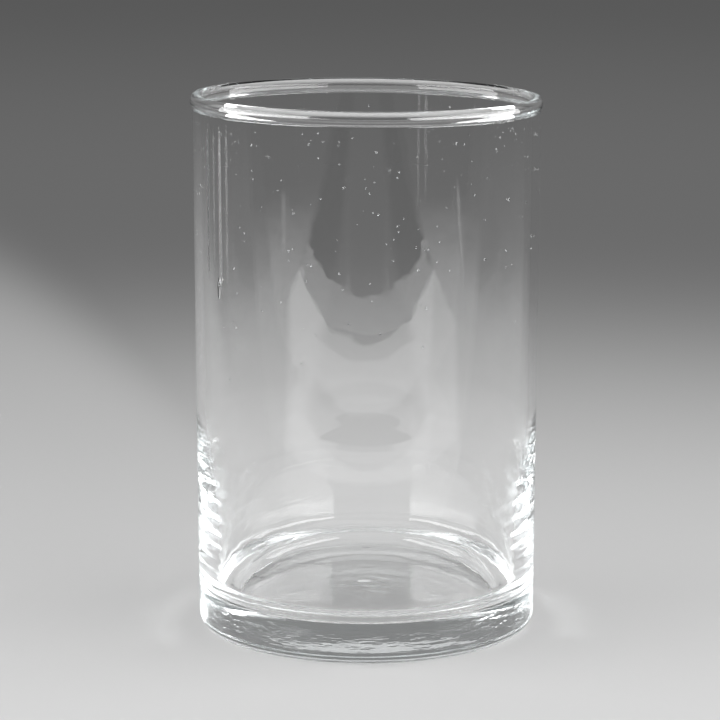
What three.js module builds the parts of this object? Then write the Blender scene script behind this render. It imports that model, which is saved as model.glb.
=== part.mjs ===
// A straight-sided tea glass, made in one piece of clear glass.
// Millimetres, +Z up. The origin is at the centre of the flat ring that the glass stands on.
import * as THREE from "three";

// Outline
const HEIGHT = 106;
const BASE_DIAMETER = 66.8; // outside, just above the heel
const MOUTH_DIAMETER = 68; // outside of the wall, just below the rim

// Rim, melted round so that it stands out past the wall on both sides
const RIM_OVERHANG_OUTSIDE = 0.5;
const RIM_OVERHANG_INSIDE = 0.3;
const RIM_BLEND_RADIUS = 1.2; // hollow curve that leads from the wall into the rim

// Wall, which thickens towards the base
const WALL_THICKNESS = 1.7;
const SWELL_TOP = 44; // the height below which it thickens
const SWELL_HEIGHT = 32;
const FOOT_WALL_THICKNESS = 3.7; // at the lower end of the swell

// Base
const BASE_THICKNESS = 7; // from the standing ring up to the inner floor
const CORNER_TOP = 16.5; // the height below which the inside curves in to the floor
const CORNER_SHARPNESS = 5; // power of the curve: a higher one curves in later and more sharply
const FLOOR_RADIUS = 24.6;
const STEP_WIDTH = 1; // a small hollow step runs round the floor, below the corner
const STEP_HEIGHT = 1.6;
const HEEL_RADIUS = 2.3;
const STANDING_RING_WIDTH = 4.5;
const PUSH_UP = 0.2; // how far the underside rises inside the standing ring

// Fineness of the faceted surface
const FACETS_AROUND = 72;
const ARC_STEP = Math.PI / 12;
const LEAST_ARC_STEPS = 3;
const SWELL_STEPS = 6;
const CORNER_STEPS = 8;

const GLASS = new THREE.MeshStandardMaterial({
  color: 0xe9efed,
  roughness: 0.03,
  metalness: 0,
  transparent: true,
  opacity: 0.3,
});

// The outline is drawn in a half plane: x is the distance from the axis and y is the height.
const QUARTER_TURN = Math.PI / 2;
const baseRadius = BASE_DIAMETER / 2;
const mouthRadius = MOUTH_DIAMETER / 2;

// Points along an arc, clockwise where the second angle is the smaller one.
// It is circular where no second radius is given.
function arc(centre, radius, from, to, upright = radius) {
  const curve = new THREE.EllipseCurve(centre.x, centre.y, radius, upright, from, to, to < from);
  const steps = Math.ceil(Math.abs(to - from) / ARC_STEP);
  return curve.getPoints(Math.max(steps, LEAST_ARC_STEPS));
}

// The rim is a round bead, centred over the wall and its two overhangs.
const beadRadius = (RIM_OVERHANG_OUTSIDE + WALL_THICKNESS + RIM_OVERHANG_INSIDE) / 2;
const beadCentre = new THREE.Vector2(
  mouthRadius + RIM_OVERHANG_OUTSIDE - beadRadius,
  HEIGHT - beadRadius,
);

// The centre of a hollow blend that touches the bead and, at the given radius, the upright wall.
function blendCentre(radiusFromAxis) {
  const reach = beadRadius + RIM_BLEND_RADIUS;
  const sideways = radiusFromAxis - beadCentre.x;
  const drop = Math.sqrt(reach * reach - sideways * sideways);
  return new THREE.Vector2(radiusFromAxis, beadCentre.y - drop);
}

const outerBlend = blendCentre(mouthRadius + RIM_BLEND_RADIUS);
const innerBlend = blendCentre(mouthRadius - WALL_THICKNESS - RIM_BLEND_RADIUS);
const outerBlendToBead = beadCentre.clone().sub(outerBlend).angle();
const innerBlendToBead = beadCentre.clone().sub(innerBlend).angle();

// The outside of the wall tapers evenly from the top of the heel to the blend under the rim.
function outerWallRadius(height) {
  return THREE.MathUtils.mapLinear(height, HEEL_RADIUS, outerBlend.y, baseRadius, mouthRadius);
}

// A shallow dome inside the standing ring, then the ring, the heel, the wall and half of the rim.
function outside() {
  const ringOuterRadius = baseRadius - HEEL_RADIUS;
  const domeEdge = ringOuterRadius - STANDING_RING_WIDTH;
  const domeRadius = (domeEdge * domeEdge + PUSH_UP * PUSH_UP) / (2 * PUSH_UP);
  const domeCentre = new THREE.Vector2(0, PUSH_UP - domeRadius);
  const domeEnd = Math.atan2(-domeCentre.y, domeEdge);
  const heelCentre = new THREE.Vector2(ringOuterRadius, HEEL_RADIUS);
  return [
    ...arc(domeCentre, domeRadius, QUARTER_TURN, domeEnd),
    ...arc(heelCentre, HEEL_RADIUS, -QUARTER_TURN, 0),
    ...arc(outerBlend, RIM_BLEND_RADIUS, Math.PI, outerBlendToBead),
    ...arc(beadCentre, beadRadius, outerBlendToBead - Math.PI, QUARTER_TURN),
  ];
}

const ledge = new THREE.Vector2(FLOOR_RADIUS + STEP_WIDTH, BASE_THICKNESS + STEP_HEIGHT);

// The inside of the wall at a height. It swells and then curves in to the ledge above the floor.
function innerWall(height) {
  const swell = THREE.MathUtils.smoothstep(SWELL_TOP - height, 0, SWELL_HEIGHT);
  const thickness = THREE.MathUtils.lerp(WALL_THICKNESS, FOOT_WALL_THICKNESS, swell);
  const depth = Math.max(0, CORNER_TOP - height) / (CORNER_TOP - ledge.y);
  const curvedIn = depth ** CORNER_SHARPNESS;
  const radius = THREE.MathUtils.lerp(outerWallRadius(height) - thickness, ledge.x, curvedIn);
  return new THREE.Vector2(radius, height);
}

// The other half of the rim, the wall, the corner, the hollow step and the floor.
function inside() {
  const swell = [];
  for (let i = 0; i < SWELL_STEPS; i += 1) {
    swell.push(innerWall(THREE.MathUtils.lerp(SWELL_TOP, CORNER_TOP, i / SWELL_STEPS)));
  }
  const corner = [];
  for (let i = 0; i <= CORNER_STEPS; i += 1) {
    const depth = Math.sqrt(i / CORNER_STEPS); // the points lie closer where the curve is sharper
    corner.push(innerWall(THREE.MathUtils.lerp(CORNER_TOP, ledge.y, depth)));
  }
  const stepCentre = new THREE.Vector2(FLOOR_RADIUS, ledge.y);
  return [
    ...arc(beadCentre, beadRadius, QUARTER_TURN, innerBlendToBead + Math.PI),
    ...arc(innerBlend, RIM_BLEND_RADIUS, innerBlendToBead, 0),
    ...swell,
    ...corner,
    ...arc(stepCentre, STEP_WIDTH, 0, -QUARTER_TURN, STEP_HEIGHT),
    new THREE.Vector2(0, BASE_THICKNESS),
  ];
}

// Neighbouring stretches share an end point, which is kept once.
function withoutRepeats(points) {
  const smallestStep = 1e-6;
  return points.filter((point, i) => i === 0 || point.distanceTo(points[i - 1]) > smallestStep);
}

function makeGlass() {
  const outline = withoutRepeats([...outside(), ...inside()]);
  const turned = new THREE.LatheGeometry(outline, FACETS_AROUND);
  turned.rotateX(QUARTER_TURN);
  const glass = new THREE.Mesh(turned, GLASS);
  glass.name = "glass";
  return glass;
}

const teaGlass = new THREE.Group();
teaGlass.add(makeGlass());

export default teaGlass;
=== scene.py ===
import math
import random

import bpy
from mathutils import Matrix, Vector, noise


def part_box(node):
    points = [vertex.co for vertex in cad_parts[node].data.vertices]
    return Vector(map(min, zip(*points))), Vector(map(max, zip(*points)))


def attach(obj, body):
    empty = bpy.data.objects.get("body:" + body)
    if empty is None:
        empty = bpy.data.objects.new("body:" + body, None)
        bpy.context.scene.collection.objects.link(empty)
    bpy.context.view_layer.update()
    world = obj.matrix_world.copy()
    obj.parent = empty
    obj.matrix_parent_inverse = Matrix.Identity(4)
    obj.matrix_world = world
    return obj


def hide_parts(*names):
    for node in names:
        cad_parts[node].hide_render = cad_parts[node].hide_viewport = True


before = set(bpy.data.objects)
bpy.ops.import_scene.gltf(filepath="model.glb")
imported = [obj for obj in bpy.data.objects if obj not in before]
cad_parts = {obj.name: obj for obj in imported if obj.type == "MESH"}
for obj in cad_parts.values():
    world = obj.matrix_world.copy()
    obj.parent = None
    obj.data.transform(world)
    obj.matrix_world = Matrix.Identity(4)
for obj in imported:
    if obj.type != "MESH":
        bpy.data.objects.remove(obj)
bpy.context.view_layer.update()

MM = 0.001
QUARTER = math.pi / 2
WHITE = (1, 1, 1, 1)

# The outline of the glass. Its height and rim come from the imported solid.
GLASS_LOW, GLASS_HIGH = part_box("glass")
HEIGHT = GLASS_HIGH.z - GLASS_LOW.z
RIM_RADIUS = GLASS_HIGH.x
RIM_OVERHANG_OUTSIDE = 0.4 * MM
RIM_OVERHANG_INSIDE = 0.3 * MM
RIM_TOP_RADIUS = 1.05 * MM
RIM_FACE_RADIUS = 3.0 * MM  # the outside of the rim is almost upright, and widest near its lower edge
RIM_FACE_ANGLE = math.radians(17)
RIM_EDGE_RADIUS = 0.9 * MM
RIM_BLEND_OUTSIDE = 0.6 * MM
RIM_BLEND_INSIDE = 1.2 * MM
WALL_THICKNESS = 1.7 * MM
FOOT_WALL_THICKNESS = 3.7 * MM
SWELL_TOP = 44 * MM  # below this the wall thickens
SWELL_HEIGHT = 32 * MM
BASE_TAPER = 0.6 * MM  # how much narrower the foot is than the mouth, on the radius
BASE_THICKNESS = 7.0 * MM
CORNER_TOP = 13.8 * MM  # below this the wall curves in towards the floor
CORNER_POWER = 5.5
STEP_RADIUS = 24.6 * MM  # where a small hollow step leads down to the floor
STEP_WIDTH = 1.0 * MM
STEP_HEIGHT = 1.6 * MM
HEEL_RADIUS = 3.2 * MM
STANDING_RING_WIDTH = 4.5 * MM
PUSH_UP = 0.3 * MM

MOUTH_RADIUS = RIM_RADIUS - RIM_OVERHANG_OUTSIDE
BASE_RADIUS = MOUTH_RADIUS - BASE_TAPER
LEDGE = BASE_THICKNESS + STEP_HEIGHT  # the height of the upper edge of the hollow step
UNDERSIDE_TOP = HEEL_RADIUS / 4  # the underside reaches this far up into the heel

# The unevenness of hot glass
RIM_TILT = 0.0094  # slope of the rim, up towards -X
RIM_LEAN = 0.0100  # slope of the rim, up towards -Y
RIM_LIFT = 0.33 * MM
RIM_SLOPE_POWER = 4  # power of the height with which the slope and the lift set in
WALL_WAVE = 0.012 * MM
WALL_WAVE_LENGTH = 16 * MM
WALL_RIPPLE = 0.005 * MM  # on the upper wall, and less of it lower down
WALL_RIPPLE_LENGTH = 4.5 * MM
WALL_RIPPLE_LOW = 0.3
WALL_RIPPLE_RANGE = (38 * MM, 55 * MM)
FLOOR_WAVE = 0.02 * MM
FLOOR_WAVE_LENGTH = 9 * MM
UNDERSIDE_WAVE = 0.03 * MM
UNDERSIDE_WAVE_LENGTH = 5 * MM
UNDERSIDE_RIPPLE = 0.02 * MM
UNDERSIDE_RIPPLE_LENGTH = 2 * MM
UNDERSIDE_CALM = 0.7  # share of the waves that is missing in the middle of the underside
UNDERSIDE_CALM_POWER = 4
RING_WAVE = 0.0018 * MM  # rings round the inside of the wall, where it thickens
RING_WAVE_SIDES = 0.014 * MM  # the same at the two sides, where they are deeper
RING_SIDE_TURN = (0.7, 0.95)  # shares of the radius, to the side, over which they deepen
RING_WAVE_TOP = 50 * MM
RING_WAVE_FADE = 3  # they have their full depth a third of the way down
RING_WAVE_LENGTH = 1.5 * MM  # their spacing at the bottom
RING_WAVE_GROWTH = 0.067  # how much wider it is for each length of height
RING_WAVE_DRIFT = 2  # radians by which they wander
SHEAR_MARK_RADIUS = 7 * MM
SHEAR_MARK_RELIEF = 0.09 * MM
SHEAR_MARK_WRINKLE = 2.2 * MM
SHEAR_MARK_SQUEEZE = 0.6  # its wrinkles are longer from side to side

# Bubbles in the wall
SEED_ORDER = 7
SEEDS = 240
SEED_RADII = (0.10 * MM, 0.26 * MM)
SEED_RANGE = (52 * MM, 102 * MM)
SEED_DEPTHS = (0.3, 0.7)  # shares of the wall's thickness
SEED_RINGS = 6
BLISTER_ANGLE = math.radians(-57.4)  # one long bubble, on the left
BLISTER_HEIGHT = 71 * MM
BLISTER_DEPTH = 0.5
BLISTER_HALVES = (0.5 * MM, 2.2 * MM)

# The surface of the glass. A noise's scale is in cells for each metre.
GLASS_IOR = 1.52
GLASS_TINT = (0.5, 0.92, 0.97, 1)
GLASS_TINT_DENSITY = 1.0
SURFACE_RIPPLE = 0.006 * MM
SURFACE_RIPPLE_SCALE = 260.0
SURFACE_RIPPLE_DETAIL = 1.0
CHILL_RELIEF = 0.13 * MM  # fine wrinkles round the foot, where the mould was cold
CHILL_LENGTH = 5 * MM
CHILL_WIDTH = 0.9 * MM
CHILL_DETAIL = 2.0
CHILL_TOP = 8 * MM
CHILL_BOTTOM = 2.0 * MM
CHILL_FADE = 1.5 * MM
UNDERSIDE_LIMIT = 0.4 * MM  # height up to which the underside is matt and grained
UNDERSIDE_ROUGHNESS = 0.05
UNDERSIDE_GRAIN = 0.4 * MM
GRAIN_SCALE = 140.0
GRAIN_DETAIL = 3.0
GRAIN_STOPS = (  # distance from the axis and how much of the grain there is
    (20 * MM, 0.0),
    (25 * MM, 0.5),
    (28 * MM, 0.5),
    (30 * MM, 0.05),
)
STREAKS = (  # dried runs: degrees from the front, lower and upper end, lean, half width, roughness
    (-63.3, 73 * MM, 102 * MM, 0.0, 0.5 * MM, 0.55),
    (-55.2, 71 * MM, 102 * MM, 0.0, 0.5 * MM, 0.55),
    (-27.2, 76 * MM, 92 * MM, 0.0, 0.8 * MM, 0.22),
    (31.6, 66 * MM, 94 * MM, -0.08, 0.5 * MM, 0.25),
    (-6.0, 71 * MM, 100 * MM, 0.0, 1.0 * MM, 0.14),
    (6.3, 71 * MM, 100 * MM, 0.0, 1.0 * MM, 0.14),
)
STREAK_END_POWER = 8  # a higher one ends the runs more squarely

# Fineness of the mesh
SEGMENTS = 288
STRAIGHT_STEP = 0.6 * MM
ARC_STEP = math.radians(6)
LEAST_ARC_STEPS = 3
CORNER_STEP = 0.4 * MM
SHORTEST_STEP = 1e-6

# The photographed camera
CAMERA_PLACE = (-1.264 * MM, -632.79 * MM, 175.79 * MM)
CAMERA_PITCH = 0.191
FOCAL_PIXELS = 3251.1
IMAGE_PIXELS = 720
SENSOR = 36.0

# The floor, which is pale round the glass and fades to a grey backdrop
FLOOR_HALF = 6.0
FLOOR_DROP = 0.02 * MM  # keeps the floor clear of the standing ring
FLOOR_ALBEDO = 0.58
PAINTED_LIGHT_SHARE = 0.45  # share of the floor's brightness that is painted light: a glow that is the same with and without the glass, so the glass's shadow and the light it gathers on the floor show at part strength
# The painted light on the floor is brighter in front of the glass than behind it, as the lamps' light
# is.
PAINTED_LIGHT_TURN = (-150 * MM, 200 * MM)
PAINTED_LIGHT_LEVELS = (0.72, 0.50)
BACKDROP_GREY = 0.145
BACKDROP_FAR_GREY = 0.10  # far behind the glass
BACKDROP_TURN = (500 * MM, 1600 * MM)
HORIZON_TURN = (2.0, 4.5)  # from here on it lightens again, towards the wall round the studio
FADE_BACK = 339 * MM  # how soon the pale floor fades, straight behind the glass
FADE_LEFT = 640 * MM  # the same on the left
FADE_ROUND = 520 * MM  # and on the other sides
FADE_POWER = 3.2
FADE_TURN_LEFT = (12, 20)  # degrees left of straight back over which the slower fade sets in
FADE_TURN_RIGHT = (40, 70)
WALL_TURN = (0.3, 0.6)  # steepness over which the wall round the studio darkens upwards
WALL_LEVELS = (0.2, 0.14)

# What the walls of the glass mirror, painted on the floor for mirrored rays only: a painted reflection
# of a glowing pale sheet in front of it, with bands, and of the floor beside the sheet, which darkens
# outwards
SHEET_NEAR = -100 * MM
SHEET_HALF = 325 * MM
SHEET_MIDDLE_HALF = (135 * MM, 185 * MM)  # the stops hold within this, and beside it the sheet is plain
PAINTED_SHEET_SIDE_LEVEL = 1.6
SHEET_SECTOR = (-52, 60)  # degrees from straight ahead, positive to the right
SHEET_SECTOR_EDGE = 2
PAINTED_SHEET_STOPS = (  # place along Y, in front of the glass, and brightness of the painted reflection
    (-346 * MM, 0.10),
    (-342 * MM, 1.20),
    (-256 * MM, 1.25),
    (-252 * MM, 0.80),
    (-196 * MM, 0.80),
    (-191 * MM, 1.55),
    (-126 * MM, 1.55),
    (-120 * MM, 1.20),
    (-100 * MM, 1.10),
)
SIDE_NEAR = (375 * MM, 0.95)  # distance from the axis and brightness of the painted reflection of the floor beside the sheet
SIDE_FAR = (640 * MM, 0.10)

# Light paths. A depth is compared with a limit half way between two whole numbers.
BOUNCES = 32
MIRRORED_ONCE = 0.5
THROUGH_A_WALL = 2.5  # past one whole wall and into another

# The lamps
SIDE_LAMP_X = 0.42
SIDE_LAMP_BOTTOM = 0.07
SIDE_LAMP_TOP = 0.27
LEFT_LAMP_Y = (-0.557, 0.127)
RIGHT_LAMP_Y = (-0.825, 0.185)
SIDE_LAMP_RADIANCE = 6.8
TOP_LAMP_PLACE = (0, -0.1, 0.75)
TOP_LAMP_TARGET = (0, -0.1, 0)
TOP_LAMP_SIZE = (0.9, 0.9)
TOP_LAMP_RADIANCE = 0.9


def clamp(value, low=0.0):
    """The value, held between low and 1."""
    return min(1.0, max(low, value))


def smoothstep(share):
    """A share from 0 to 1, eased at both ends."""
    share = clamp(share)
    return share * share * (3 - 2 * share)


def arc(centre, radius, start, end):
    """Points along a circular arc in the half plane of radius and height."""
    steps = max(LEAST_ARC_STEPS, math.ceil(abs(end - start) / ARC_STEP))
    angles = [start + (end - start) * i / steps for i in range(steps + 1)]
    return [centre + radius * Vector((math.cos(a), math.sin(a))) for a in angles]


def hollow(centre, width, height):
    """Points along a quarter of an ellipse, from its upright end down to its level end."""
    steps = math.ceil(QUARTER / ARC_STEP)
    angles = [-QUARTER * i / steps for i in range(steps + 1)]
    return [centre + Vector((width * math.cos(a), height * math.sin(a))) for a in angles]


def straight(start, end):
    """Points along a straight line."""
    steps = max(1, math.ceil((end - start).length / STRAIGHT_STEP))
    return [start.lerp(end, i / steps) for i in range(steps + 1)]


def blend_centre(radius, centre, reach):
    """The centre of a hollow blend, at a radius and a reach from the centre of an arc of the rim."""
    drop = math.sqrt(reach ** 2 - (radius - centre.x) ** 2)
    return Vector((radius, centre.y - drop))


def direction(start, end):
    """The angle of the way from one point to another."""
    way = end - start
    return math.atan2(way.y, way.x)


def rim():
    """Points from the end of the outer wall over the rim to the start of the inner wall."""
    upper = Vector((math.cos(RIM_FACE_ANGLE), math.sin(RIM_FACE_ANGLE)))
    middle = RIM_RADIUS - RIM_FACE_RADIUS * (1 - upper.x) - RIM_TOP_RADIUS * upper.x
    top_centre = Vector((middle, HEIGHT - RIM_TOP_RADIUS))
    face_centre = top_centre + (RIM_TOP_RADIUS - RIM_FACE_RADIUS) * upper
    edge_centre = Vector((RIM_RADIUS - RIM_EDGE_RADIUS, face_centre.y))
    inner_radius = middle - (MOUTH_RADIUS - WALL_THICKNESS - RIM_OVERHANG_INSIDE)
    inner_centre = Vector((middle, HEIGHT - inner_radius))
    outer_blend = blend_centre(
        MOUTH_RADIUS + RIM_BLEND_OUTSIDE, edge_centre, RIM_EDGE_RADIUS + RIM_BLEND_OUTSIDE
    )
    inner_blend = blend_centre(
        MOUTH_RADIUS - WALL_THICKNESS - RIM_BLEND_INSIDE, inner_centre, inner_radius + RIM_BLEND_INSIDE
    )
    outer_angle = direction(outer_blend, edge_centre)
    inner_angle = direction(inner_blend, inner_centre)
    return [
        *arc(outer_blend, RIM_BLEND_OUTSIDE, math.pi, outer_angle),
        *arc(edge_centre, RIM_EDGE_RADIUS, outer_angle - math.pi, 0),
        *arc(face_centre, RIM_FACE_RADIUS, 0, RIM_FACE_ANGLE),
        *arc(top_centre, RIM_TOP_RADIUS, RIM_FACE_ANGLE, QUARTER),
        *arc(inner_centre, inner_radius, QUARTER, inner_angle + math.pi),
        *arc(inner_blend, RIM_BLEND_INSIDE, inner_angle, 0),
    ]


def dome(edge):
    """Points along the underside, from the axis to the inner edge of the standing ring."""
    steps = math.ceil(edge / STRAIGHT_STEP)
    shares = [i / steps for i in range(steps + 1)]
    return [Vector((edge * share, PUSH_UP * (1 - share * share) ** 2)) for share in shares]


def inner_wall(top, shoulder):
    """Points down the inside of the wall, from its top to the ledge of the hollow step.

    The outside of the wall has its full width at the height of the shoulder.
    """

    def at(height):
        up = (height - HEEL_RADIUS) / (shoulder - HEEL_RADIUS)
        outside = BASE_RADIUS + (MOUTH_RADIUS - BASE_RADIUS) * up
        swell = smoothstep((SWELL_TOP - height) / SWELL_HEIGHT)
        thickness = WALL_THICKNESS + (FOOT_WALL_THICKNESS - WALL_THICKNESS) * swell
        radius = outside - thickness
        low = clamp((CORNER_TOP - height) / (CORNER_TOP - LEDGE))
        return Vector((radius - (radius - STEP_RADIUS - STEP_WIDTH) * low ** CORNER_POWER, height))

    points = []
    for start, end, length in ((top, CORNER_TOP, STRAIGHT_STEP), (CORNER_TOP, LEDGE, CORNER_STEP)):
        steps = math.ceil((start - end) / length)
        points += [at(start + (end - start) * i / steps) for i in range(steps + 1)]
    return points


def inner_floor():
    """Points along the floor, from the hollow step to the axis."""
    steps = math.ceil(STEP_RADIUS / STRAIGHT_STEP)
    return [Vector((STEP_RADIUS * (1 - i / steps), BASE_THICKNESS)) for i in range(steps + 1)]


def outline():
    """The half outline, from the middle of the underside round the rim to the middle of the floor."""
    ring_outer = BASE_RADIUS - HEEL_RADIUS
    ring_inner = ring_outer - STANDING_RING_WIDTH
    lip = rim()
    shoulder = lip[0].y
    points = [
        *dome(ring_inner),
        *straight(Vector((ring_inner, 0)), Vector((ring_outer, 0))),
        *arc(Vector((ring_outer, HEEL_RADIUS)), HEEL_RADIUS, -QUARTER, 0),
        *straight(Vector((BASE_RADIUS, HEEL_RADIUS)), Vector((MOUTH_RADIUS, shoulder))),
        *lip,
        *inner_wall(lip[-1].y, shoulder),
        *hollow(Vector((STEP_RADIUS, LEDGE)), STEP_WIDTH, STEP_HEIGHT),
        *inner_floor(),
    ]
    return [p for i, p in enumerate(points) if i == 0 or (p - points[i - 1]).length > SHORTEST_STEP]


def ring_wave(place, radius, swing):
    """How far the rings move a point of the inner wall outwards."""
    low = max(0.0, 1 - place.z / RING_WAVE_TOP)
    turns = math.log(RING_WAVE_LENGTH + RING_WAVE_GROWTH * place.z) / RING_WAVE_GROWTH
    start, end = RING_SIDE_TURN
    side = smoothstep((abs(place.x) / radius - start) / (end - start))
    depth = RING_WAVE + (RING_WAVE_SIDES - RING_WAVE) * side
    wave = math.sin(2 * math.pi * turns + swing * RING_WAVE_DRIFT)
    return wave * depth * min(1.0, RING_WAVE_FADE * low)


def wall_wave(place, radius):
    """How far a point of the wall is moved outwards."""
    swing = noise.noise(place / WALL_WAVE_LENGTH)
    start, end = WALL_RIPPLE_RANGE
    high = clamp((place.z - start) / (end - start), WALL_RIPPLE_LOW)
    wave = swing * WALL_WAVE + noise.noise(place / WALL_RIPPLE_LENGTH) * WALL_RIPPLE * high
    if radius < BASE_RADIUS - WALL_THICKNESS / 2:
        wave += ring_wave(place, radius, swing)
    return wave


def floor_wave(place, radius):
    """How far a point of the floor is lifted, with a wrinkled shear mark in the middle."""
    wave = noise.noise(place / FLOOR_WAVE_LENGTH) * FLOOR_WAVE
    near = max(0.0, 1 - (radius / SHEAR_MARK_RADIUS) ** 2)
    wrinkle = noise.noise(Vector((place.x * SHEAR_MARK_SQUEEZE, place.y, 0)) / SHEAR_MARK_WRINKLE)
    return wave + near * wrinkle * SHEAR_MARK_RELIEF


def underside_wave(place, radius):
    """How far a point of the underside is lifted, never downwards and least in the middle."""
    wave = 0.5 + 0.5 * noise.noise(place / UNDERSIDE_WAVE_LENGTH)
    ripple = 0.5 + 0.5 * noise.noise(place / UNDERSIDE_RIPPLE_LENGTH)
    middle = max(0.0, 1 - (radius / STEP_RADIUS) ** UNDERSIDE_CALM_POWER)
    lift = wave * UNDERSIDE_WAVE * (1 - UNDERSIDE_CALM * middle)
    return lift + ripple * UNDERSIDE_RIPPLE * (1 - middle)


def uneven(place):
    """A point of the even glass, moved as hot glass sets: a leaning rim, waves and a shear mark."""
    radius = math.hypot(place.x, place.y)
    moved = place.copy()
    slope = RIM_LIFT - RIM_TILT * place.x - RIM_LEAN * place.y
    moved.z += slope * (place.z / HEIGHT) ** RIM_SLOPE_POWER
    if radius > STEP_RADIUS + STEP_WIDTH and place.z > BASE_THICKNESS:
        wave = wall_wave(place, radius)
        moved.x += wave * place.x / radius
        moved.y += wave * place.y / radius
    elif place.z > BASE_THICKNESS / 2:  # the floor, and the outside of the base round it
        moved.z += floor_wave(place, radius)
    elif place.z < UNDERSIDE_TOP:
        moved.z += underside_wave(place, radius)
    return moved


def turn(points):
    """The outline turned about the axis: vertices and faces, with one vertex at each pole."""
    ring = points[1:-1]
    vertices = [Vector((0, 0, points[0].y))]
    for point in ring:
        for i in range(SEGMENTS):
            angle = 2 * math.pi * i / SEGMENTS
            vertices.append(Vector((point.x * math.cos(angle), point.x * math.sin(angle), point.y)))
    vertices.append(Vector((0, 0, points[-1].y)))
    last = len(vertices) - 1

    def at(row, column):
        return 1 + row * SEGMENTS + column % SEGMENTS

    faces = [(0, at(0, i + 1), at(0, i)) for i in range(SEGMENTS)]
    for row in range(len(ring) - 1):
        for i in range(SEGMENTS):
            faces.append((at(row, i), at(row, i + 1), at(row + 1, i + 1), at(row + 1, i)))
    end = len(ring) - 1
    faces += [(at(end, i), at(end, i + 1), last) for i in range(SEGMENTS)]
    return [uneven(vertex) for vertex in vertices], faces


def seeds():
    """The bubbles: their angle from the front, height, depth in the wall, and half width and height."""
    chance = random.Random(SEED_ORDER)
    low, high = SEED_RANGE
    bubbles = []
    for _ in range(SEEDS):
        radius = chance.uniform(*SEED_RADII)
        angle = chance.uniform(-math.pi, math.pi)
        height = chance.triangular(low, high, high)
        depth = chance.uniform(*SEED_DEPTHS)
        bubbles.append((angle, height, depth, (radius, radius)))
    bubbles.append((BLISTER_ANGLE, BLISTER_HEIGHT, BLISTER_DEPTH, BLISTER_HALVES))
    return bubbles


def bubble(first, centre, radius, half_height):
    """A bubble's vertices, and faces that face its air and number them from first."""
    sides = 2 * SEED_RINGS
    vertices = [centre + Vector((0, 0, half_height))]
    for row in range(1, SEED_RINGS):
        tilt = math.pi * row / SEED_RINGS
        level = radius * math.sin(tilt)
        up = half_height * math.cos(tilt)
        for i in range(sides):
            angle = 2 * math.pi * i / sides
            vertices.append(centre + Vector((level * math.cos(angle), level * math.sin(angle), up)))
    vertices.append(centre - Vector((0, 0, half_height)))
    last = first + len(vertices) - 1
    faces = []
    for i in range(sides):
        j = (i + 1) % sides
        faces.append((first, first + 1 + j, first + 1 + i))
        for row in range(SEED_RINGS - 2):
            upper = first + 1 + row * sides
            faces.append((upper + i, upper + j, upper + sides + j, upper + sides + i))
        faces.append((last, last - sides + i, last - sides + j))
    return vertices, faces


def add_object(name, data):
    """A new object in the scene."""
    added = bpy.data.objects.new(name, data)
    bpy.context.scene.collection.objects.link(added)
    return added


def make_glass():
    """The glass with the bubbles in its wall, as one piece."""
    vertices, faces = turn(outline())
    for angle, height, depth, halves in seeds():
        radius = MOUTH_RADIUS - BASE_TAPER * (1 - height / HEIGHT) - depth * WALL_THICKNESS
        centre = Vector((radius * math.sin(angle), -radius * math.cos(angle), height))
        bubble_vertices, bubble_faces = bubble(len(vertices), centre, *halves)
        vertices += bubble_vertices
        faces += bubble_faces
    mesh = bpy.data.meshes.new("tea_glass")
    mesh.from_pydata(vertices, [], faces)
    mesh.shade_smooth()
    mesh.materials.append(glass_material())
    glass = add_object("tea_glass", mesh)
    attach(glass, "root")
    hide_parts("glass")


class Graph:
    """Adds nodes and links them. A value is a constant or the output of another node."""

    def __init__(self, tree):
        self.nodes = tree.nodes
        self.links = tree.links

    def feed(self, socket, value):
        """Sets a socket to a constant or links it to an output."""
        if isinstance(value, bpy.types.NodeSocket):
            self.links.new(value, socket)
        else:
            socket.default_value = value

    def add(self, kind, output=0, **inputs):
        """An output of a new node whose inputs are given by name."""
        node = self.nodes.new(kind)
        for name, value in inputs.items():
            self.feed(node.inputs[name.replace("_", " ")], value)
        return node.outputs[output]

    def maths(self, operation, *values, held=False):
        """The result of an operation, held between 0 and 1 where that is asked for."""
        node = self.nodes.new("ShaderNodeMath")
        node.operation = operation
        node.use_clamp = held
        for socket, value in zip(node.inputs, values):
            self.feed(socket, value)
        return node.outputs[0]

    def squares(self, x, y):
        """The sum of two squares."""
        return self.maths("ADD", self.maths("POWER", x, 2), self.maths("POWER", y, 2))

    def split(self, place):
        """The three coordinates of a place."""
        node = self.nodes.new("ShaderNodeSeparateXYZ")
        self.feed(node.inputs[0], place)
        return tuple(node.outputs)

    def smooth(self, value, start, end, low=0.0, high=1.0):
        """Eases from low to high as the value goes from start to end."""
        limits = {"From_Min": start, "From_Max": end, "To_Min": low, "To_Max": high}
        result = self.add("ShaderNodeMapRange", "Result", Value=value, **limits)
        result.node.interpolation_type = "SMOOTHSTEP"
        return result

    def smooth_turn(self, angle, start, end):
        """Eases from 0 to 1 as the angle goes from start to end, which are in degrees."""
        return self.smooth(angle, math.radians(start), math.radians(end))

    def ramp(self, value, stops, start, end):
        """The level at a value, between stops of value and level that lie within start and end."""
        node = self.nodes.new("ShaderNodeValToRGB")
        elements = node.color_ramp.elements
        elements.remove(elements[1])
        for i, (at, level) in enumerate(stops):
            position = (at - start) / (end - start)
            element = elements[0] if i == 0 else elements.new(position)
            element.position = position
            element.color = (level, level, level, 1)
        share = self.maths("DIVIDE", self.maths("SUBTRACT", value, start), end - start)
        self.feed(node.inputs[0], share)
        return node.outputs[0]

    def mix_shaders(self, share, first, second):
        """Goes from the first shader to the second as the share goes from 0 to 1."""
        node = self.nodes.new("ShaderNodeMixShader")
        for socket, value in zip(node.inputs, (share, first, second)):
            self.feed(socket, value)
        return node.outputs[0]

    def shine(self, strength):
        """Even white light."""
        return self.add("ShaderNodeEmission", Color=WHITE, Strength=strength)

    def show(self, shader):
        """Makes a shader the surface of the material."""
        node = self.nodes.new("ShaderNodeOutputMaterial")
        self.feed(node.inputs["Surface"], shader)


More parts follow.
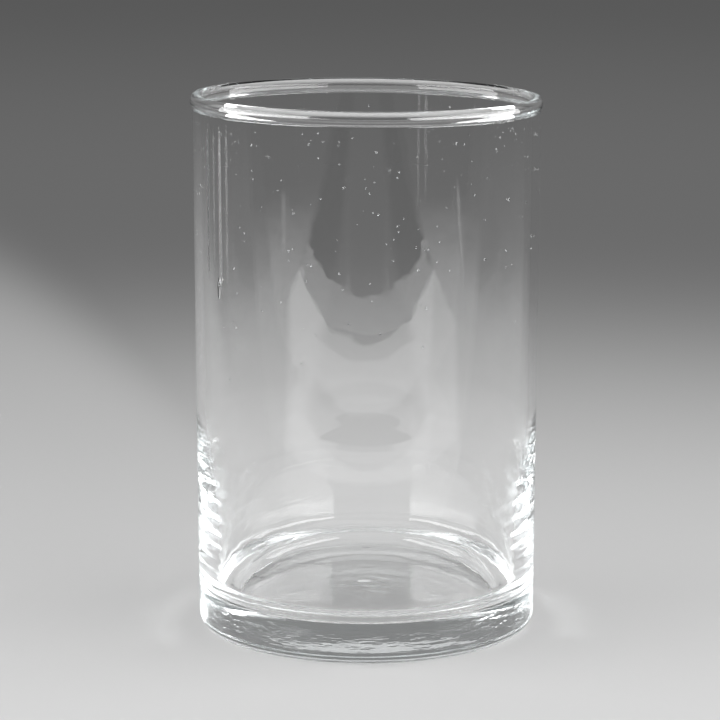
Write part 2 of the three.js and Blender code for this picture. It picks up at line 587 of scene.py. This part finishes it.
def noise_bump(graph, place, scale, detail, relief, **inputs):
    """A normal that follows a noise. The relief is its height."""
    height = graph.add("ShaderNodeTexNoise", "Fac", Vector=place, Scale=scale, Detail=detail)
    return graph.add("ShaderNodeBump", "Normal", Height=height, Distance=relief, **inputs)


def chilled(graph, place, z, from_axis, normal):
    """Level wrinkles round the outside of the foot, on top of a normal."""
    spacing = (1 / CHILL_LENGTH, 1 / CHILL_LENGTH, 1 / CHILL_WIDTH)
    stretched = graph.add("ShaderNodeMapping", Vector=place, Scale=spacing)
    below = graph.maths("DIVIDE", graph.maths("SUBTRACT", CHILL_TOP, z), CHILL_FADE, held=True)
    above = graph.maths("DIVIDE", graph.maths("SUBTRACT", z, CHILL_BOTTOM), CHILL_FADE, held=True)
    outside = graph.maths("GREATER_THAN", from_axis, BASE_RADIUS - HEEL_RADIUS / 2)
    share = graph.maths("MULTIPLY", graph.maths("MULTIPLY", below, above), outside)
    return noise_bump(graph, stretched, 1.0, CHILL_DETAIL, CHILL_RELIEF, Normal=normal, Strength=share)


def grained(graph, place, under, from_axis, normal):
    """A mottled grain round the underside, on top of a normal."""
    share = graph.maths("MULTIPLY", under, graph.ramp(from_axis, GRAIN_STOPS, 0.0, BASE_RADIUS))
    return noise_bump(
        graph, place, GRAIN_SCALE, GRAIN_DETAIL, UNDERSIDE_GRAIN, Normal=normal, Strength=share
    )


def streaked(graph, x, y, z, from_axis, roughness):
    """Dried runs down the outside of the wall, on top of a roughness."""
    turned = graph.maths("ARCTAN2", x, graph.maths("MULTIPLY", y, -1))
    across = graph.maths("MULTIPLY", turned, MOUTH_RADIUS)
    outside = graph.maths("GREATER_THAN", from_axis, MOUTH_RADIUS - WALL_THICKNESS / 2 - BASE_TAPER)
    for degrees, low, high, lean, width, depth in STREAKS:
        up = graph.maths("SUBTRACT", z, (low + high) / 2)
        centre = graph.maths("MULTIPLY_ADD", up, lean, math.radians(degrees) * MOUTH_RADIUS)
        aside = graph.maths("DIVIDE", graph.maths("SUBTRACT", across, centre), width)
        along = graph.maths("DIVIDE", up, (high - low) / 2)
        ends = graph.maths("POWER", along, STREAK_END_POWER)
        spread = graph.maths("ADD", graph.maths("POWER", aside, 2), ends)
        streak = graph.maths("EXPONENT", graph.maths("MULTIPLY", spread, -1))
        streak = graph.maths("MULTIPLY", streak, outside)
        roughness = graph.maths("MULTIPLY_ADD", streak, depth, roughness)
    return roughness


def glass_material():
    """Clear glass with faint ripples, a wrinkled foot, a grained underside and dried runs."""
    material = bpy.data.materials.new("clear_glass")
    material.use_nodes = True
    graph = Graph(material.node_tree)
    place = graph.add("ShaderNodeTexCoord", "Object")
    x, y, z = graph.split(place)
    from_axis = graph.maths("SQRT", graph.squares(x, y))
    under = graph.maths("LESS_THAN", z, UNDERSIDE_LIMIT)
    normal = noise_bump(graph, place, SURFACE_RIPPLE_SCALE, SURFACE_RIPPLE_DETAIL, SURFACE_RIPPLE)
    normal = chilled(graph, place, z, from_axis, normal)
    normal = grained(graph, place, under, from_axis, normal)
    matt = graph.maths("MULTIPLY", under, UNDERSIDE_ROUGHNESS)
    looks = {
        "Base Color": WHITE,
        "Roughness": streaked(graph, x, y, z, from_axis, matt),
        "IOR": GLASS_IOR,
        "Transmission Weight": 1.0,
        "Normal": normal,
    }
    shader = graph.nodes["Principled BSDF"]
    for name, value in looks.items():
        graph.feed(shader.inputs[name], value)
    tint = graph.add("ShaderNodeVolumeAbsorption", Color=GLASS_TINT, Density=GLASS_TINT_DENSITY)
    graph.feed(graph.nodes["Material Output"].inputs["Volume"], tint)
    return material


def stage_material(name):
    """An empty material and its graph."""
    material = bpy.data.materials.new(name)
    material.use_nodes = True
    material.node_tree.nodes.clear()
    return material, Graph(material.node_tree)


def pale_floor(graph, x, y, square):
    """Pale paper, part lit and part painted light, that fades to a grey backdrop, where square is the
    squared distance from the axis.
    """
    from_back = graph.maths("ARCTAN2", x, y)
    to_left = graph.smooth_turn(graph.maths("MULTIPLY", from_back, -1), *FADE_TURN_LEFT)
    to_right = graph.smooth_turn(from_back, *FADE_TURN_RIGHT)
    fade = graph.maths("MULTIPLY_ADD", to_right, FADE_ROUND - FADE_BACK, FADE_BACK)
    fade = graph.maths("MULTIPLY_ADD", to_left, FADE_LEFT - FADE_BACK, fade)
    spread = graph.maths("DIVIDE", square, graph.maths("POWER", fade, 2))
    fall = graph.maths("POWER", spread, FADE_POWER / 2)
    near = graph.maths("EXPONENT", graph.maths("MULTIPLY", fall, -1))
    lit = graph.add("ShaderNodeBsdfDiffuse", Color=(FLOOR_ALBEDO, FLOOR_ALBEDO, FLOOR_ALBEDO, 1))
    # Painted light: a glow that copies how the lamps light the floor, brighter in front.
    even = graph.shine(graph.smooth(y, *PAINTED_LIGHT_TURN, *PAINTED_LIGHT_LEVELS))
    paper = graph.mix_shaders(PAINTED_LIGHT_SHARE, lit, even)
    distance = graph.maths("SQRT", square)
    level = graph.smooth(distance, *BACKDROP_TURN, BACKDROP_GREY, BACKDROP_FAR_GREY)
    lighter = graph.smooth(distance, *HORIZON_TURN, 0.0, WALL_LEVELS[0] - BACKDROP_FAR_GREY)
    grey = graph.shine(graph.maths("ADD", level, lighter))
    return graph.mix_shaders(near, grey, paper)


def painted_reflection(graph, x, y, square):
    """A painted reflection: a glowing sheet in front of the glass, up to its front edge, and the floor
    beside it, which darkens outwards.
    """
    from_middle = graph.maths("ABSOLUTE", x)
    striped = graph.ramp(y, PAINTED_SHEET_STOPS, PAINTED_SHEET_STOPS[0][0], PAINTED_SHEET_STOPS[-1][0])
    reached = graph.maths("GREATER_THAN", y, PAINTED_SHEET_STOPS[1][0])
    plain = graph.maths("MULTIPLY", reached, PAINTED_SHEET_SIDE_LEVEL)
    middle = graph.smooth(from_middle, *SHEET_MIDDLE_HALF, 1.0, 0.0)
    sheet = graph.add("ShaderNodeMix", "Result", Factor=middle, A=plain, B=striped)
    angle = graph.maths("ARCTAN2", x, graph.maths("MULTIPLY", y, -1))
    left, right = SHEET_SECTOR
    past_left = graph.smooth_turn(angle, left - SHEET_SECTOR_EDGE, left + SHEET_SECTOR_EDGE)
    past_right = graph.smooth_turn(angle, right - SHEET_SECTOR_EDGE, right + SHEET_SECTOR_EDGE)
    within = graph.maths("SUBTRACT", past_left, past_right)
    between = graph.maths("LESS_THAN", from_middle, SHEET_HALF)
    on_sheet = graph.maths("MULTIPLY", within, between)
    (near_edge, near_level), (far_edge, far_level) = SIDE_NEAR, SIDE_FAR
    beside = graph.smooth(graph.maths("SQRT", square), near_edge, far_edge, near_level, far_level)
    return graph.shine(graph.add("ShaderNodeMix", "Result", Factor=on_sheet, A=beside, B=sheet))


def floor_material():
    """A pale floor that shows a painted reflection of a sheet in front of the glass to mirrored rays
    only.
    """
    material, graph = stage_material("studio_floor")
    x, y, _ = graph.split(graph.add("ShaderNodeNewGeometry", "Position"))
    square = graph.squares(x, y)
    depth = graph.add("ShaderNodeLightPath", "Glossy Depth")
    mirrored = graph.maths("GREATER_THAN", depth, MIRRORED_ONCE)
    ahead = graph.maths("LESS_THAN", y, SHEET_NEAR)
    share = graph.maths("MULTIPLY", mirrored, ahead)
    paper = pale_floor(graph, x, y, square)
    # Painted reflection: mirrored rays in front of the glass see glowing bands instead of the lit
    # floor.
    sheet = painted_reflection(graph, x, y, square)
    graph.show(graph.mix_shaders(share, paper, sheet))
    return material


def rectangle(name, half_width, half_height, level, material):
    """A flat mesh round the origin."""
    sides = ((-1, -1), (1, -1), (1, 1), (-1, 1))
    corners = [(half_width * across, half_height * up, level) for across, up in sides]
    mesh = bpy.data.meshes.new(name)
    mesh.from_pydata(corners, [], [(0, 1, 2, 3)])
    mesh.materials.append(material)
    return mesh


def make_floor():
    """The floor of the studio."""
    mesh = rectangle("floor", FLOOR_HALF, FLOOR_HALF, -FLOOR_DROP, floor_material())
    floor = add_object("floor", mesh)


def softbox(name, place, target, size, radiance):
    """A soft lamp of the given radiance that faces a point."""
    width, height = size
    lamp = bpy.data.lights.new(name, "AREA")
    lamp.shape = "RECTANGLE"
    lamp.size = width
    lamp.size_y = height
    lamp.energy = radiance * math.pi * width * height
    box = add_object(name, lamp)
    box.location = place
    box.rotation_euler = (Vector(target) - Vector(place)).to_track_quat("-Z", "Y").to_euler()
    return box


def card_material():
    """Shines through the glass, but not into a straight look through both of its walls."""
    material, graph = stage_material("lamp_card")
    material.cycles.emission_sampling = "NONE"
    glossy = graph.add("ShaderNodeLightPath", "Glossy Depth")
    refracted = graph.add("ShaderNodeLightPath", "Transmission Depth")
    mirrored = graph.maths("GREATER_THAN", glossy, MIRRORED_ONCE)
    through = graph.maths("GREATER_THAN", refracted, THROUGH_A_WALL)
    hidden = graph.maths("MULTIPLY", through, graph.maths("SUBTRACT", 1.0, mirrored))
    clear = graph.add("ShaderNodeBsdfTransparent")
    graph.show(graph.mix_shaders(hidden, graph.shine(SIDE_LAMP_RADIANCE), clear))
    return material


def make_card(box):
    """Stands in for a lamp where the glass refracts it."""
    box.visible_transmission = False
    lamp = box.data
    mesh = rectangle(box.name + "_card", lamp.size / 2, lamp.size_y / 2, 0, card_material())
    card = add_object(mesh.name, mesh)
    card.location = box.location
    card.rotation_euler = box.rotation_euler
    card.visible_camera = False
    card.visible_diffuse = False
    card.visible_glossy = False
    card.visible_shadow = False


def make_lights():
    """A long lamp on each side, with its card, and a soft one above."""
    middle = (SIDE_LAMP_BOTTOM + SIDE_LAMP_TOP) / 2
    tall = SIDE_LAMP_TOP - SIDE_LAMP_BOTTOM
    sides = (("left", -SIDE_LAMP_X, LEFT_LAMP_Y), ("right", SIDE_LAMP_X, RIGHT_LAMP_Y))
    for side, x, (start, end) in sides:
        y = (start + end) / 2
        size = (end - start, tall)
        box = softbox("softbox_" + side, (x, y, middle), (0, y, middle), size, SIDE_LAMP_RADIANCE)
        make_card(box)
    softbox("softbox_top", TOP_LAMP_PLACE, TOP_LAMP_TARGET, TOP_LAMP_SIZE, TOP_LAMP_RADIANCE)


def make_world():
    """The wall round the studio, which darkens upwards."""
    world = bpy.data.worlds.new("studio")
    world.use_nodes = True
    graph = Graph(world.node_tree)
    _, _, steepness = graph.split(graph.add("ShaderNodeTexCoord", "Generated"))
    background = graph.nodes["Background"]
    graph.feed(background.inputs["Color"], WHITE)
    graph.feed(background.inputs["Strength"], graph.smooth(steepness, *WALL_TURN, *WALL_LEVELS))
    bpy.context.scene.world = world


def make_camera():
    """The camera of the photograph."""
    data = bpy.data.cameras.new("camera")
    data.sensor_width = SENSOR
    data.lens = FOCAL_PIXELS / IMAGE_PIXELS * SENSOR
    camera = add_object("camera", data)
    camera.location = CAMERA_PLACE
    camera.rotation_euler = (QUARTER - CAMERA_PITCH, 0, 0)
    bpy.context.scene.camera = camera


def set_render():
    """Plain colours, and enough bounces for light to find its way through the base."""
    scene = bpy.context.scene
    scene.view_settings.view_transform = "Standard"
    scene.cycles.max_bounces = BOUNCES
    scene.cycles.glossy_bounces = BOUNCES
    scene.cycles.transmission_bounces = BOUNCES
    scene.cycles.blur_glossy = 0.0


make_camera()
make_world()
make_lights()
make_floor()
make_glass()
set_render()
